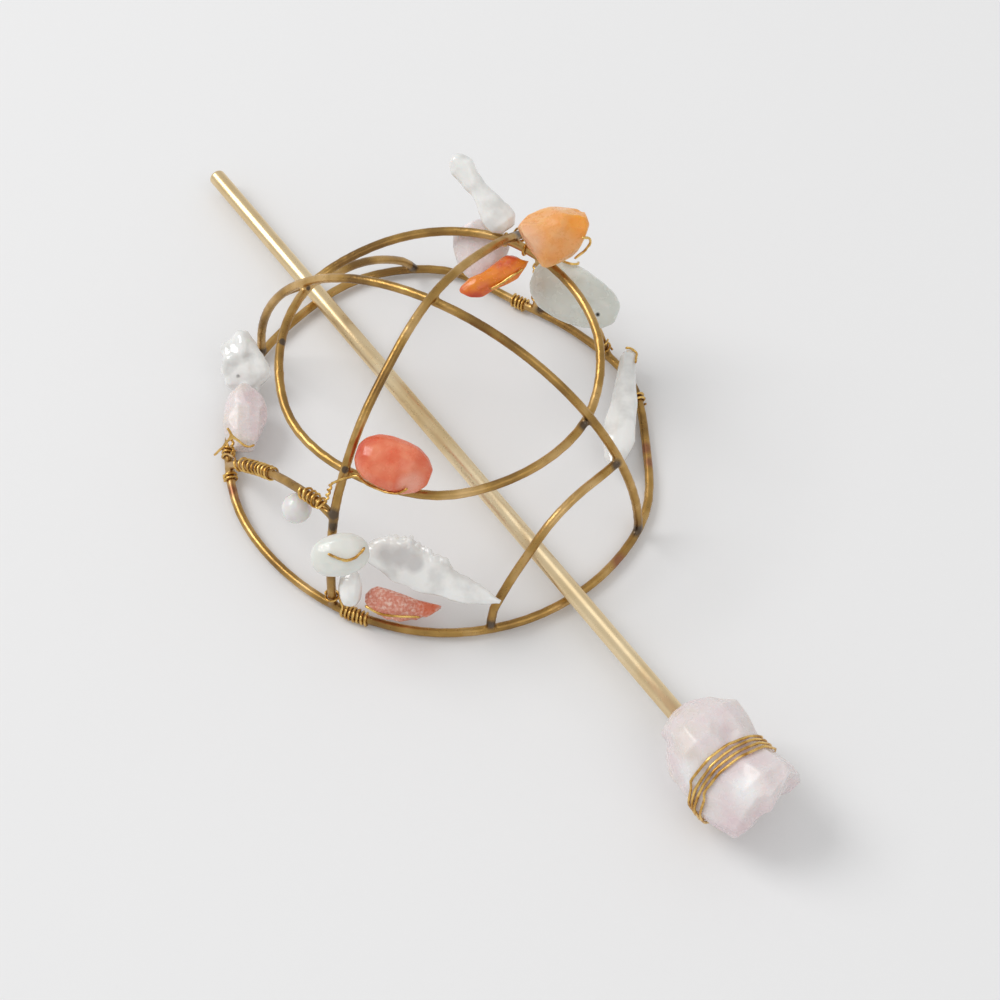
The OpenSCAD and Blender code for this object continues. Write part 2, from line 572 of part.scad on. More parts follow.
module wrap_post() {
    binding(coil(high_path, 0.9, 2.25, 0, 3));
}

module wrap_back() {
    binding(coil(ring, 63.8 / 360, 4.5, 0, 1.5));
    binding(coil(high_path, 0.965, 1.5, 90, 2));
}

module tie_peach() {
    binding(over_stone(peach_set, [[5, 0.5], [5.7, 1.2], [5.6, 2.2], [4.8, 2.4], [4, 2]]));
}

module tie_pale() {
    binding(over_stone(pale_set, [[2.2, 9.2], [2.7, 9.2], [3.1, 9], [3.1, 8.2]]));
}

module wrap_right() {
    binding(coil(right_short, 0.04, 2, 0, 2.4));
}

module coil_right() {
    binding(coil(ring, 13.4 / 360, 2.5, 90, 2));
}

module tie_long_pearl() {
    binding(over_stone(long_set, [[0, 0.2], [0.1, 10.5], [1, 9.2], [1.6, 9.4]]));
}

cage_frame();
stick_shaft();
stick_stone();
stick_binding();
left_pearl();
left_rose_quartz();
bar_bead();
front_carnelian();
front_moonstone();
drop_pearl();
wing_pearl();
salmon_stone();
club_pearl();
back_rose_quartz();
back_carnelian();
peach_stone();
pale_moonstone();
long_pearl();
wrap_left();
wrap_bar();
wrap_front();
wrap_crown();
wrap_post();
wrap_back();
wrap_right();
coil_right();
tie_moonstone();
tie_peach();
tie_pale();
tie_long_pearl();
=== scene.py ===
import math

import bpy
import numpy as np
from bpy.props import FloatProperty, FloatVectorProperty, IntProperty, PointerProperty
from mathutils import Euler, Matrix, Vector, noise
from mathutils.bvhtree import BVHTree


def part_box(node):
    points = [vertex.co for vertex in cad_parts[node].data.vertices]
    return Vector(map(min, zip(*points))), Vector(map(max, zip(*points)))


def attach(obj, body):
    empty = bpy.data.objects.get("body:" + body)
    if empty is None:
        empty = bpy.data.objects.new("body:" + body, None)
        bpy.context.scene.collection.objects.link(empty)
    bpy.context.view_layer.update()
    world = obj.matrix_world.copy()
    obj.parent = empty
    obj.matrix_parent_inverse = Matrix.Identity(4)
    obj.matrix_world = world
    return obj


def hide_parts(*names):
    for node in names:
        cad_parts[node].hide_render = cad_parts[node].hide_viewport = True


bl_info = {
    "name": "Bun cage with hair stick",
    "version": (1, 0, 0),
    "blender": (4, 5, 0),
    "location": "3D View > Sidebar > Bun Cage",
    "description": "Dresses a wire bun cage, its raw stones, pearls and hair stick",
    "category": "Object",
}

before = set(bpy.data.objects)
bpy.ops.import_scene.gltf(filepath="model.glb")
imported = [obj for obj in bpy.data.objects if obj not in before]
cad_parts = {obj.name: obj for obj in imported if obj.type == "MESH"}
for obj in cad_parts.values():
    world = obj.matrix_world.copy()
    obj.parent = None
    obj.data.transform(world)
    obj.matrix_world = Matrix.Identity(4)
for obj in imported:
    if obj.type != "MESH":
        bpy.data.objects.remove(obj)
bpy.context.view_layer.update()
MM = 0.001
# Corners of a solid that lie closer than this, in m, are one
WELD_GAP = 0.002 * MM
# How far in mm a broken stone keeps below the surface of its solid
SKIN = 0.05
# Smoothing passes that soften the edges of the chips
CHIP_PASSES = 3
# Length and height in mm of the waves along the edge of the wing pearl
RUFFLE = (1.1, 0.8)

# The camera that fits the photograph: place in m, angle from straight down, focal length and
# sensor width in mm, and the width of the picture in pixels
EYE = Vector((0.0106, -0.2295, 0.3361))
TILT = math.radians(33)
LENS = 80.5
SENSOR = 36
PICTURE = 1000

# How strongly each stone bends light
QUARTZ_IOR = 1.544
CARNELIAN_IOR = 1.54
CALCITE_IOR = 1.49
MOONSTONE_IOR = 1.52
SALMON_IOR = 1.52
GLASS_IOR = 1.52
PEARL_IOR = 1.53
# Share of clear coat that gives a pearl its lustre
LUSTRE = 0.9

# A spot up to this radius in mm is an inclusion with a sharp edge
SPECK = 1.25
# Where the edge of a spot ends, as a share of its radius
SHARP_EDGE = 1.1
SOFT_EDGE = 1.5

BLACK = "1E1C1A"
SILVER = "CFCDCC"
# Painted highlight, laid as pale spots on the end stone
PAINTED_GLINT = "F5F2F2"
DEEP_RED = "CE4C30"
# Spots of each finish: the node that carries them, then for each one its x and y in the
# photograph in pixels, how far in mm its middle lies past the surface along the line of sight,
# its radius in mm and its colour
SPOTS = {
    # The two spots on the end stone are painted highlights
    "raw_rose_quartz": ("stick_stone", ((690, 775, 0, 3.2, PAINTED_GLINT), (745, 790, 0, 3.0, PAINTED_GLINT))),
    "raw_rose_quartz_spotted": ("left_rose_quartz", ((237.2, 383.5, -1, 1.1, BLACK),)),
    "baroque_pearl_spotted": ("left_pearl", ((238, 377, 0.3, 1.2, BLACK),)),
    "wing_pearl_nacre": (
        "wing_pearl",
        ((385, 554, 0, 2.2, SILVER), (399, 557, 0, 2.6, SILVER), (414, 565, 0, 2.0, SILVER)),
    ),
    "tumbled_carnelian": (
        "front_carnelian",
        ((358, 448, 0.5, 3.6, DEEP_RED), (412, 484, -0.2, 2.6, "EFA68E")),
    ),
    "carnelian_chip": ("back_carnelian", ((472, 300, 0.4, 2.0, DEEP_RED),)),
    "raw_salmon_stone": ("salmon_stone", ((429, 603, 0.3, 2.8, "D9704C"),)),
    "raw_peach_calcite": (
        "peach_stone",
        ((529, 241, 1.4, 3.6, "F0BE96"), (578, 223, 0.4, 3.2, "F7A43E")),
    ),
    "tumbled_grey_moonstone": ("pale_moonstone", ((598, 315, 0, 1.1, BLACK),)),
}


def linear(code):
    """Linear colour of an sRGB hex code."""
    parts = [int(code[k : k + 2], 16) / 255 for k in (0, 2, 4)]
    return tuple(p / 12.92 if p <= 0.04045 else ((p + 0.055) / 1.055) ** 2.4 for p in parts)


def tint(name, description, code):
    """A colour that the user can change."""
    return FloatVectorProperty(
        name=name, description=description, subtype="COLOR", min=0, max=1, default=linear(code)
    )


def add(tree, kind, settings=None, links=None):
    """A node with its settings and with the sockets that feed it."""
    node = tree.nodes.new(kind)
    for key, value in (settings or {}).items():
        if key == "stops":
            ramp = node.color_ramp
            while len(ramp.elements) < len(value):
                ramp.elements.new(0.5)
            for element, (place, colour) in zip(ramp.elements, value):
                element.position = place
                element.color = (*colour, 1)
        elif isinstance(key, str) and hasattr(node, key):
            setattr(node, key, value)
        else:
            node.inputs[key].default_value = value
    for key, socket in (links or {}).items():
        tree.links.new(socket, node.inputs[key])
    return node


def finish(name, stops, grain, relief, gloss, sockets, spots=()):
    """Material from colours over clouds of grain mm, relief of so many mm at a grain size, a
    range of roughness, the shader's own values and round spots (place, radius mm, colour)."""
    mat = bpy.data.materials.new(name)
    mat.use_nodes = True
    tree = mat.node_tree
    tree.nodes.clear()
    where = add(tree, "ShaderNodeTexCoord").outputs["Object"]
    cloud, skin = (
        add(
            tree,
            "ShaderNodeTexNoise",
            {"Scale": 1 / (size * MM), "Detail": 3, "Roughness": 0.5},
            {"Vector": where},
        ).outputs["Fac"]
        for size in (grain, relief[1])
    )
    colour = add(tree, "ShaderNodeValToRGB", {"stops": stops}, {"Fac": cloud}).outputs["Color"]
    for middle, radius, shade in spots:
        away = add(
            tree,
            "ShaderNodeVectorMath",
            {"operation": "DISTANCE", 1: middle},
            {0: where},
        ).outputs["Value"]
        wobble = add(
            tree,
            "ShaderNodeMath",
            {"operation": "MULTIPLY_ADD", 1: radius * 0.9 * MM},
            {0: cloud, 2: away},
        ).outputs["Value"]
        edge = SOFT_EDGE if radius > SPECK else SHARP_EDGE
        share = add(
            tree,
            "ShaderNodeMapRange",
            {"From Min": radius * edge * MM, "From Max": radius * 0.9 * MM},
            {"Value": wobble},
        ).outputs["Result"]
        colour = add(
            tree, "ShaderNodeMix", {"data_type": "RGBA", 7: (*shade, 1)}, {0: share, 6: colour}
        ).outputs[2]
    bump = add(
        tree, "ShaderNodeBump", {"Strength": 1.0, "Distance": relief[0] * MM}, {"Height": skin}
    ).outputs["Normal"]
    rough = add(
        tree,
        "ShaderNodeMapRange",
        {"From Min": 0.35, "From Max": 0.65, "To Min": gloss[0], "To Max": gloss[1]},
        {"Value": skin},
    ).outputs["Result"]
    shader = add(
        tree,
        "ShaderNodeBsdfPrincipled",
        sockets,
        {"Base Color": colour, "Roughness": rough, "Normal": bump},
    )
    add(tree, "ShaderNodeOutputMaterial", {}, {"Surface": shader.outputs["BSDF"]})
    return mat


def surface(node):
    """The surface of a node's solid, for nearest points and rays."""
    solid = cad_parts[node].data
    corners = [v.co for v in solid.vertices]
    return BVHTree.FromPolygons(corners, [tuple(f.vertices) for f in solid.polygons])


def seen(node, x, y, sink=0):
    """Where the line of sight through a pixel meets a node's solid, moved sink mm along it."""
    way = Vector((x - PICTURE / 2, PICTURE / 2 - y, -PICTURE * LENS / SENSOR)).normalized()
    way.rotate(Euler((TILT, 0, 0)))
    tree = surface(node)
    point = tree.ray_cast(EYE, way)[0]
    if point is None:
        # The line passes beside a solid whose size was changed, so a point near it is taken
        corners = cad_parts[node].data.vertices
        middle = sum((v.co for v in corners), Vector()) / len(corners)
        point = tree.find_nearest(EYE + way * way.dot(middle - EYE))[0]
    return point + way * sink * MM


def dress(obj, mat):
    """Gives the piece its material and smooth shading."""
    obj.data.materials.clear()
    obj.data.materials.append(mat)
    obj.data.polygons.foreach_set("use_smooth", [True] * len(obj.data.polygons))
    obj.data.update()


def weld(obj):
    """Joins the corners that the faces of a solid share."""
    obj.modifiers.new("weld", "WELD").merge_threshold = WELD_GAP


def even_mesh(obj, spacing, passes):
    """Gives a solid an even mesh and rounds its edges."""
    weld(obj)
    grid = obj.modifiers.new("grid", "REMESH")
    grid.mode = "VOXEL"
    grid.voxel_size = spacing
    grid.use_smooth_shade = True
    ease = obj.modifiers.new("ease", "SMOOTH")
    ease.factor = 0.5
    ease.iterations = passes


def swollen(obj, thickness):
    """Puts back the thickness that rounding took."""
    swell = obj.modifiers.new("swell", "DISPLACE")
    swell.strength = thickness
    swell.mid_level = 0


def fit(points, low, high):
    """Points stretched to fill a box."""
    lo, hi = points.min(0), points.max(0)
    return low + (points - lo) / (hi - lo) * (high - low)


def rounded(node, spacing, passes):
    """An even, rounded mesh of a node's solid, its points, and the corners of the node's box."""
    obj = bpy.data.objects.new("round_" + node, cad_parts[node].data.copy())
    bpy.context.scene.collection.objects.link(obj)
    even_mesh(obj, spacing * MM, passes)
    graph = bpy.context.evaluated_depsgraph_get()
    mesh = bpy.data.meshes.new_from_object(obj.evaluated_get(graph), depsgraph=graph)
    bpy.data.objects.remove(obj)
    low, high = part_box(node)
    points = np.zeros(len(mesh.vertices) * 3)
    mesh.vertices.foreach_get("co", points)
    return mesh, points.reshape(-1, 3), np.array(low), np.array(high)


def broken(points, low, high, cuts, depth, seed):
    """Points with flat fracture faces: what lies past a plane is pressed onto it."""
    # The shallowest face as a share of the deepest, and how flat each one is pressed
    shallow, flat = 0.4, 0.9
    rng = np.random.default_rng(seed)
    half = (high - low) / 2
    local = (points - (low + high) / 2) / half
    for _ in range(cuts):
        way = rng.normal(size=3)
        way /= np.linalg.norm(way)
        reach = local @ way
        limit = reach.max() * (1 - depth * (shallow + (1 - shallow) * rng.random()))
        past = np.maximum(reach - limit, 0)
        local = local - np.outer(past * flat, way)
    return (low + high) / 2 + local * half


def normals(mesh, points):
    """The way out of the surface at each point."""
    mesh.vertices.foreach_set("co", points.ravel())
    mesh.update()
    ways = np.zeros(len(points) * 3)
    mesh.vertices.foreach_get("normal", ways)
    return ways.reshape(-1, 3)


def chipped(mesh, points, count, size, depth, seed):
    """Points with small flat chips, about size mm across and up to depth mm deep."""
    # How far a chip leans, and the share of its span over which it fades out
    lean, fade = 0.3, 0.3
    rng = np.random.default_rng(seed)
    ways = normals(mesh, points)
    for _ in range(count):
        i = rng.integers(len(points))
        way = ways[i] + rng.normal(size=3) * lean
        way /= np.linalg.norm(way)
        off = points - points[i]
        span = size * MM * (0.5 + rng.random())
        near = np.clip((span - np.linalg.norm(off, axis=1)) / (fade * span), 0, 1)
        past = np.clip(off @ way + depth * MM * rng.random(), 0, depth * MM)
        points = points - np.outer(past * near, way)
    return points


def eased(mesh, points, passes):
    """Points drawn towards their neighbours, which softens edges."""
    ends = np.zeros(len(mesh.edges) * 2, dtype=int)
    mesh.edges.foreach_get("vertices", ends)
    a, b = ends.reshape(-1, 2).T
    count = np.bincount(ends, minlength=len(points))[:, None]
    for _ in range(passes):
        total = np.zeros_like(points)
        np.add.at(total, a, points[b])
        np.add.at(total, b, points[a])
        points = (points + total / count) / 2
    return points


def rippled(mesh, points, size, height, seed):
    """Points moved along their normals by soft noise with waves of size mm, height mm high."""
    shift = Vector((seed * 3.7, seed * 1.9, seed * 5.3))
    lift = np.array([noise.noise(Vector(p) / (size * MM) + shift) for p in points])
    return points + normals(mesh, points) * (lift * height * MM)[:, None]


def ruffled(mesh, points, size, height, seed):
    """Points with short waves along one long edge, as on a wing pearl."""
    # Shares of the half width where the waves start and where they are full
    start, full = 0.36, 0.76
    middle = points.mean(0)
    across = np.linalg.svd(points - middle, full_matrices=False)[2][1]
    across = across if across[1] > 0 else -across
    place = (points - middle) @ across
    share = np.clip((place / place.max() - start) / (full - start), 0, 1)[:, None]
    return points + (rippled(mesh, points, size, height, seed) - points) * share


def kept_inside(node, points):
    """Points drawn back to just below the surface of the node's solid."""
    tree = surface(node)
    out = points.copy()
    for i, p in enumerate(points):
        place, normal, _, _ = tree.find_nearest(Vector(p))
        if (Vector(p) - place).dot(normal) > -SKIN * MM:
            out[i] = place - normal * SKIN * MM
    return out


def settle(node, mesh, points, mat):
    """Puts a finished stone in place of its solid."""
    mesh.vertices.foreach_set("co", points.ravel())
    mesh.name = node + "_dressed"
    obj = bpy.data.objects.new(node + "_dressed", mesh)
    bpy.context.scene.collection.objects.link(obj)
    dress(obj, mat)
    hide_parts(node)
    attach(obj, "stick" if node.startswith("stick") else "cage")


class BUNCAGE_PG_metal(bpy.types.PropertyGroup):
    """Colours and smoothness of the wires and the rod."""

    frame_light: tint("Frame light", "Worn brass of the frame wire", "DAB67E")
    frame_mid: tint("Frame middle", "Aged brass of the frame wire", "B69052")
    frame_dark: tint("Frame dark", "Darkened brass in the hollows", "89693E")
    solder: tint("Solder", "Dark heat stain round a soldered joint", "66584A")
    heat: tint("Heat", "Copper-red heat tint on the base ring", "9E6E50")
    rod_light: tint("Rod light", "Bright brass of the rod", "F6E2BC")
    rod_dark: tint("Rod dark", "Dull brass of the rod", "E0C391")
    gilt_light: tint("Gilt light", "Bright gilt of the binding wire", "EFC878")
    gilt_dark: tint("Gilt dark", "Shaded gilt of the binding wire", "BC8A40")
    voxel: FloatProperty(
        name="Frame grain",
        description="Mesh spacing that rounds the frame wires and fills their joints",
        default=0.27 * MM,
        unit="LENGTH",
        precision=5,
    )
    swell: FloatProperty(
        name="Frame swell",
        description="Thickness put back after the frame wires are rounded",
        default=0.06 * MM,
        unit="LENGTH",
        precision=5,
    )


class BUNCAGE_PG_stones(bpy.types.PropertyGroup):
    """Colours and break of the stones and pearls."""

    quartz: tint("Rose quartz", "Milky body of the rose quartz", "ECE3E3")
    quartz_pink: tint("Rose quartz pink", "Pink zones of the rose quartz", "E9D8DB")
    quartz_warm: tint("Rose quartz warm", "Warm stain in its cracks", "E8DED6")
    pearl: tint("Pearl", "White body of the pearls", "F0F0EE")
    # Painted shade: pale grey laid over the pearls in random clouds
    painted_pearl_shade: tint("Pearl shade", "Pale grey clouds in the pearls", "DDDDDB")
    carnelian: tint("Carnelian", "Coral red body of the front stone", "E0643E")
    carnelian_pale: tint("Carnelian pale", "Pale cloud in the front stone", "EC8C68")
    amber: tint("Amber", "Clear orange of the small stone", "F7922C")
    salmon: tint("Salmon", "Raw salmon stone", "DB8B76")
    salmon_pale: tint("Salmon pale", "Crystals on the salmon stone", "F4D3C6")
    peach: tint("Peach", "Raw peach stone", "F0A04E")
    peach_pale: tint("Peach pale", "Pale zones of the peach stone", "F4BC80")
    moon: tint("Moonstone", "Pale body of the moonstones", "EFF0EB")
    moon_shade: tint("Moonstone shade", "Grey-green shade of the moonstones", "E6E8E2")
    cuts: IntProperty(
        name="Fracture faces",
        description="Flat faces broken onto a raw stone",
        default=24,
        min=0,
        max=60,
    )
    chips: FloatProperty(
        name="Chips",
        description="Share of the small chips on the raw stones",
        default=1,
        min=0,
        max=3,
    )
    depth: FloatProperty(
        name="Fracture depth",
        description="How deep the fracture faces go, as a share of the stone's half size",
        default=0.3,
        min=0,
        max=0.6,
        subtype="FACTOR",
    )


class BUNCAGE_PG_stage(bpy.types.PropertyGroup):
    """Floor, light and camera."""

    floor: tint("Floor", "Pale floor", "ECECED")
    sky: FloatProperty(name="Sky", description="Strength of the even light", default=0.7, min=0)
    lamp: FloatProperty(
        name="Lamp", description="Power of the soft lamp", default=9.4, min=0, unit="POWER"
    )
    lens: FloatProperty(
        name="Lens", description="Focal length of the camera", default=LENS, unit="CAMERA"
    )
    tilt: FloatProperty(
        name="Tilt",
        description="Angle of the camera from straight down",
        default=TILT,
        subtype="ANGLE",
    )


def stone_material(name):
    """The finish of one kind of stone or pearl, made at its first use."""
    if name in bpy.data.materials:
        return bpy.data.materials[name]
    s = bpy.context.scene.bun_cage_stones
    quartz = (0.34, s.quartz_pink[:]), (0.5, s.quartz[:]), (0.7, s.quartz_warm[:])
    pearl = (0.36, s.painted_pearl_shade[:]), (0.56, s.pearl[:])
    carnelian = (0.36, s.carnelian[:]), (0.64, s.carnelian_pale[:])
    chip = (0.36, s.carnelian[:]), (0.56, s.amber[:])
    salmon = (0.4, s.salmon[:]), (0.52, linear("E09A85")), (0.7, s.salmon_pale[:])
    peach = (0.34, s.peach[:]), (0.66, s.peach_pale[:])
    moon = (0.36, s.moon_shade[:]), (0.6, s.moon[:])
    grey_moon = (0.36, linear("DDE0D8")), (0.6, linear("E7E9E2"))
    # Colours, cloud mm, relief and its grain mm, roughness, IOR, inner glow, clearness, coat
    kinds = {
        # Raw rose quartz, broken: milky glass, waxy on the broken faces, glinting on their edges, with
        # two painted highlights on the end stone
        "raw_rose_quartz": (quartz, 7, (0.03, 1.4), (0.18, 0.36), QUARTZ_IOR, 0.5, 0.1, 0),
        # The quartz beside the left pearl has a black inclusion that leaves only a faint mark
        "raw_rose_quartz_spotted": (
            quartz, 5, (0.03, 0.9), (0.16, 0.42), QUARTZ_IOR, 0.5, 0.1, 0
        ),
        # Baroque pearl, grown in thin layers: soft white lustre, with painted pale grey shade in random
        # clouds
        "baroque_pearl": (pearl, 4, (0.02, 2.2), (0.06, 0.16), PEARL_IOR, 0.25, 0, LUSTRE),
        # The pearl on the left has a small dark spot towards its lower end
        "baroque_pearl_spotted": (pearl, 3, (0.02, 2.2), (0.04, 0.12), PEARL_IOR, 0.2, 0, LUSTRE),
        # Wing pearl: the same, with a silver shadow along its middle
        "wing_pearl_nacre": (pearl, 4, (0.03, 2.2), (0.08, 0.2), PEARL_IOR, 0.3, 0, LUSTRE),
        # Carnelian, tumbled: waxy orange-red, deeper at one end and cloudy at the other
        "tumbled_carnelian": (
            carnelian, 3.4, (0.03, 1.0), (0.14, 0.32), CARNELIAN_IOR, 0.4, 0.03, 0
        ),
        # Carnelian chip: clear deep orange, red at one end
        "carnelian_chip": (chip, 4, (0.06, 0.8), (0.1, 0.28), CARNELIAN_IOR, 0.35, 0.15, 0),
        # Raw salmon stone: rough crystals with pale grains
        "raw_salmon_stone": (salmon, 0.5, (0.12, 0.5), (0.2, 0.45), SALMON_IOR, 0.3, 0, 0),
        # Raw peach calcite: waxy and glowing, paler on one side
        "raw_peach_calcite": (peach, 4, (0.04, 1.0), (0.2, 0.42), CALCITE_IOR, 0.5, 0.05, 0),
        # Moonstone, polished: pale with a soft inner cloud
        "polished_moonstone": (moon, 5, (0.02, 1.6), (0.08, 0.2), MOONSTONE_IOR, 0.4, 0.1, 0),
        # Moonstone, tumbled: greyer, with one black inclusion
        "tumbled_grey_moonstone": (
            grey_moon, 5, (0.04, 1.6), (0.14, 0.32), MOONSTONE_IOR, 0.4, 0.1, 0
        ),
    }
    stops, grain, relief, gloss, ior, glow, clear, coat = kinds[name]
    carrier, marks = SPOTS.get(name, (None, ()))
    return finish(
        name,
        stops,
        grain,
        relief,
        gloss,
        {
            "IOR": ior,
            "Subsurface Weight": glow,
            "Subsurface Radius": (1.0, 0.8, 0.7),
            "Subsurface Scale": 2.2 * MM,
            "Transmission Weight": clear,
            "Coat Weight": coat,
            "Coat Roughness": 0.06,
        },
        [(seen(carrier, x, y, sink), radius, linear(code)) for x, y, sink, radius, code in marks],
    )


class BUNCAGE_OT_cage(bpy.types.Operator):
    """Rounds the soldered frame wires and gives them aged brass."""

    bl_idname = "bun_cage.cage"
    bl_label = "Cage frame"

    # Smoothing passes that round the wires
    PASSES = 9
    # Heat tints on the base ring: x and y in the photograph in pixels, radius in mm
    TINTS = ((646, 448, 1.6), (650, 462, 1.4), (619, 562, 2.0), (232, 490, 1.8), (240, 500, 1.3))
    # Soldered joints with a dark heat stain: x and y in the photograph in pixels, radius in mm
    STAINS = (
        (345, 470, 1.2),
        (333, 515, 1.7),
        (333, 527, 1.5),
        (584, 425, 1.3),
        (617, 465, 1.4),
        (638, 530, 1.5),
        (490, 625, 1.4),
        (262, 352, 1.5),
        (283, 342, 1.2),
        (415, 266, 1.4),
        (517, 232, 2.0),
        (308, 288, 1.1),
        (540, 308, 1.4),
    )

    def execute(self, context):
        m = context.scene.bun_cage_metal
        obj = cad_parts["cage_frame"]
        even_mesh(obj, m.voxel, self.PASSES)
        swollen(obj, m.swell)
        # Brass wire, drawn and aged: warm brown-gold, brighter where it is rubbed
        mat = finish(
            "aged_brass_wire",
            ((0.34, m.frame_dark[:]), (0.52, m.frame_mid[:]), (0.7, m.frame_light[:])),
            9,
            (0.012, 0.8),
            (0.26, 0.4),
            {"Metallic": 1.0},
            [
                (seen("cage_frame", x, y), radius, colour[:])
                for places, colour in ((self.TINTS, m.heat), (self.STAINS, m.solder))
                for x, y, radius in places
            ],
        )
        dress(obj, mat)
        return {"FINISHED"}


class BUNCAGE_OT_stick(bpy.types.Operator):
    """Gives the rod its satin brass."""

    bl_idname = "bun_cage.stick"
    bl_label = "Hair stick"

    def execute(self, context):
        m = context.scene.bun_cage_metal
        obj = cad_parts["stick_shaft"]
        # Brass rod, sanded: pale satin gold with faint marks
        mat = finish(
            "satin_brass_rod",
            ((0.36, m.rod_dark[:]), (0.62, m.rod_light[:])),
            18,
            (0.002, 0.8),
            (0.27, 0.31),
            {"Metallic": 1.0},
        )
        dress(obj, mat)
        weld(obj)
        return {"FINISHED"}


class BUNCAGE_OT_raw_stones(bpy.types.Operator):
    """Breaks fracture faces onto the raw stones."""

    bl_idname = "bun_cage.raw_stones"
    bl_label = "Raw stones"

    # Node, mesh spacing mm, smoothing passes before and after the break, chips, their size and
    # depth mm, seed, material, slot
    STONES = (
        ("stick_stone", 0.26, 9, 5, 70, 4.2, 0.5, 3, "raw_rose_quartz", "rose_quartz"),
        (
            "left_rose_quartz", 0.18, 10, 5, 8, 3.0, 0.15, 5, "raw_rose_quartz_spotted", "rose_quartz"
        ),
        ("back_rose_quartz", 0.18, 10, 5, 8, 3.0, 0.15, 7, "raw_rose_quartz", "rose_quartz"),
        ("salmon_stone", 0.13, 2, 2, 60, 1.3, 0.25, 9, "raw_salmon_stone", "salmon_stone"),
        ("peach_stone", 0.18, 6, 5, 14, 3.4, 0.2, 11, "raw_peach_calcite", "peach_stone"),
        ("back_carnelian", 0.15, 2, 5, 16, 2.2, 0.15, 13, "carnelian_chip", "carnelian"),
    )

    def execute(self, context):
        s = context.scene.bun_cage_stones
        for node, spacing, passes, last, chips, size, deep, seed, kind, slot in self.STONES:
            mesh, points, low, high = rounded(node, spacing, passes)
            points = broken(fit(points, low, high), low, high, s.cuts, s.depth, seed)
            points = rippled(mesh, fit(points, low, high), size, deep, seed)
            points = chipped(mesh, points, round(chips * s.chips), size, deep, seed)
            points = eased(mesh, points, CHIP_PASSES)
            points = eased(mesh, kept_inside(node, points), last)
            settle(node, mesh, points, stone_material(kind))
        return {"FINISHED"}


class BUNCAGE_OT_smooth_stones(bpy.types.Operator):
    """Rounds the tumbled stones and the pearls."""

    bl_idname = "bun_cage.smooth_stones"
    bl_label = "Tumbled stones and pearls"

    # Node, mesh spacing mm, smoothing passes, wave mm, height mm, seed, material, slot
    STONES = (
        ("front_carnelian", 0.22, 24, 5.0, 0.35, 21, "tumbled_carnelian", "carnelian"),
        ("front_moonstone", 0.2, 24, 5.0, 0.15, 22, "polished_moonstone", "moonstone"),
        ("pale_moonstone", 0.24, 20, 5.0, 0.6, 23, "tumbled_grey_moonstone", "grey_moonstone"),
        ("left_pearl", 0.16, 14, 2.8, 1.1, 24, "baroque_pearl_spotted", "pearl"),
        ("drop_pearl", 0.14, 18, 3.0, 0.2, 25, "baroque_pearl", "pearl"),
        ("wing_pearl", 0.15, 8, 3.0, 0.45, 26, "wing_pearl_nacre", "pearl"),
        ("club_pearl", 0.16, 12, 3.0, 0.5, 27, "baroque_pearl", "pearl"),
        ("long_pearl", 0.2, 14, 4.0, 0.35, 28, "baroque_pearl", "pearl"),
    )

    def execute(self, context):
        for node, spacing, passes, wave, height, seed, kind, slot in self.STONES:
            mesh, points, low, high = rounded(node, spacing, passes)
            points = rippled(mesh, fit(points, low, high), wave, height, seed)
            if node == "wing_pearl":
                points = ruffled(mesh, points, *RUFFLE, seed)
            settle(node, mesh, fit(points, low, high), stone_material(kind))
        return {"FINISHED"}


class BUNCAGE_OT_bead(bpy.types.Operator):
    """Gives the small bead its milky glass."""

    bl_idname = "bun_cage.bead"
    bl_label = "Bead"

    def execute(self, context):
        # Glass bead, polished: milky and faintly clear
        mat = finish(
            "milky_glass_bead",
            ((0.4, linear("EDEDEB")), (0.6, linear("F7F7F6"))),
            3,
            (0.06, 1.2),
            (0.06, 0.14),
            {
                "IOR": GLASS_IOR,
                "Transmission Weight": 0.2,
                "Subsurface Weight": 0.4,
                "Subsurface Scale": 1.2 * MM,
            },
        )
        dress(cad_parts["bar_bead"], mat)
        return {"FINISHED"}


class BUNCAGE_OT_binding(bpy.types.Operator):
    """Rounds the binding wires and gives them bright gilt."""

    bl_idname = "bun_cage.binding"
    bl_label = "Binding wire"

    # Thickness in mm put back after the wire is rounded
    SWELL = 0.03
    # How far in mm a turn strays, on the frame and on the end stone, and over what length
    STRAY = 0.3
    BAND_STRAY = 0.1
    STRAY_LENGTH = 1.6

    def execute(self, context):
        m = context.scene.bun_cage_metal
        # Gilt brass wire, drawn: warm bright gold
        mat = finish(
            "gilt_binding_wire",
            ((0.36, m.gilt_dark[:]), (0.6, m.gilt_light[:])),
            2,
            (0.008, 0.4),
            (0.2, 0.34),
            {"Metallic": 1.0},
        )
        # Bends the turns a little, as wire wound by hand
        hand = bpy.data.textures.new("hand_wound", "CLOUDS")
        hand.noise_scale = self.STRAY_LENGTH * MM
        hand.cloud_type = "COLOR"
        for name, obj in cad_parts.items():
            if name.startswith(("wrap_", "tie_", "coil_")) or name == "stick_binding":
                weld(obj)
                ease = obj.modifiers.new("ease", "SUBSURF")
                ease.levels = ease.render_levels = 1
                swollen(obj, self.SWELL * MM)
                bend = obj.modifiers.new("bend", "DISPLACE")
                bend.texture = hand
                bend.texture_coords = "GLOBAL"
                bend.direction = "RGB_TO_XYZ"
                stray = self.BAND_STRAY if name == "stick_binding" else self.STRAY
                bend.strength = stray * MM
                dress(obj, mat)
        return {"FINISHED"}


